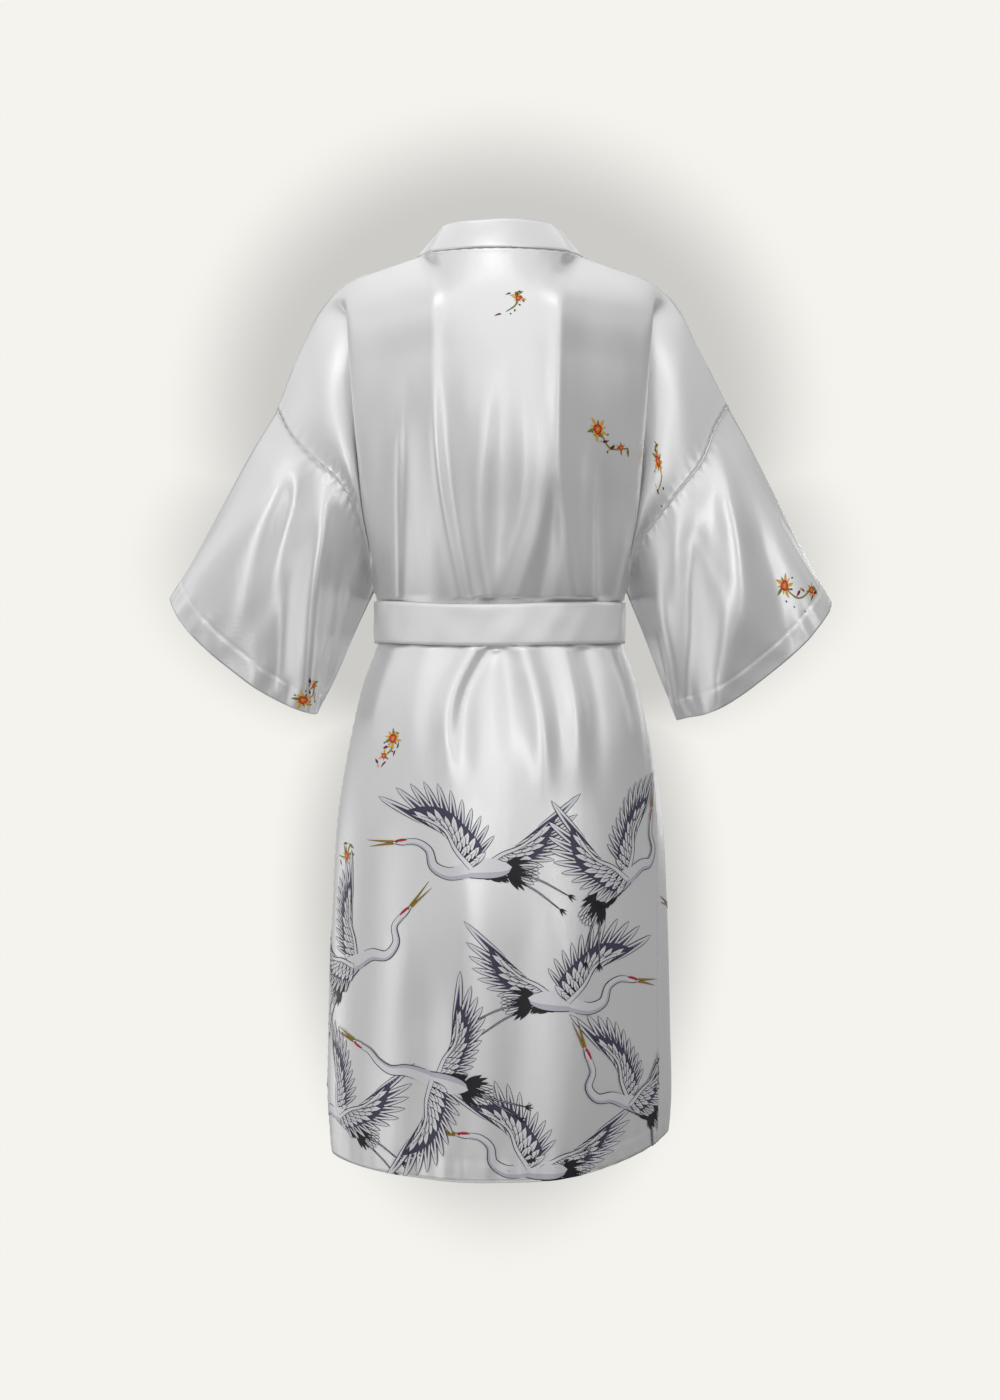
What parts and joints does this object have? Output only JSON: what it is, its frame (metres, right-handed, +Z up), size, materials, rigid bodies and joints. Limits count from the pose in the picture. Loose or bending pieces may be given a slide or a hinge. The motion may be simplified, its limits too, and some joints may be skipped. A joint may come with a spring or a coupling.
{
  "type": "kimono robe",
  "caption": "Short satin wrap robe with wide dropped sleeves, a standing neckband that runs down both fronts, and a flat belt tied in front, filled out as worn.",
  "frame": {"origin": "at the height of the nape seam, on the vertical mid-plane between back and front and on the centre line", "axes": "+Z up along the wearer, +Y to the wearer's back, +X to the wearer's left"},
  "size_m": [0.691, 0.2758, 0.9845],
  "materials": {
    "satin": "white satin with a soft sheen and a print",
    "belt_satin": "plain white satin",
    "ink_dark": "printed near-black line on satin",
    "ink_grey": "printed blue-grey shade on satin",
    "ink_pale": "printed pale lavender on satin",
    "ink_red": "printed red on satin",
    "ink_gold": "printed gold on satin",
    "ink_orange": "printed orange on satin"
  },
  "bodies": {
    "root": {"back": "satin", "front_left": "satin", "front_right": "satin", "sleeve_left": "satin", "sleeve_right": "satin", "neckband": "satin", "belt": "belt_satin", "belt_knot": "belt_satin", "belt_tail_left": "belt_satin", "belt_tail_right": "belt_satin"}
  },
  "joints": []
}
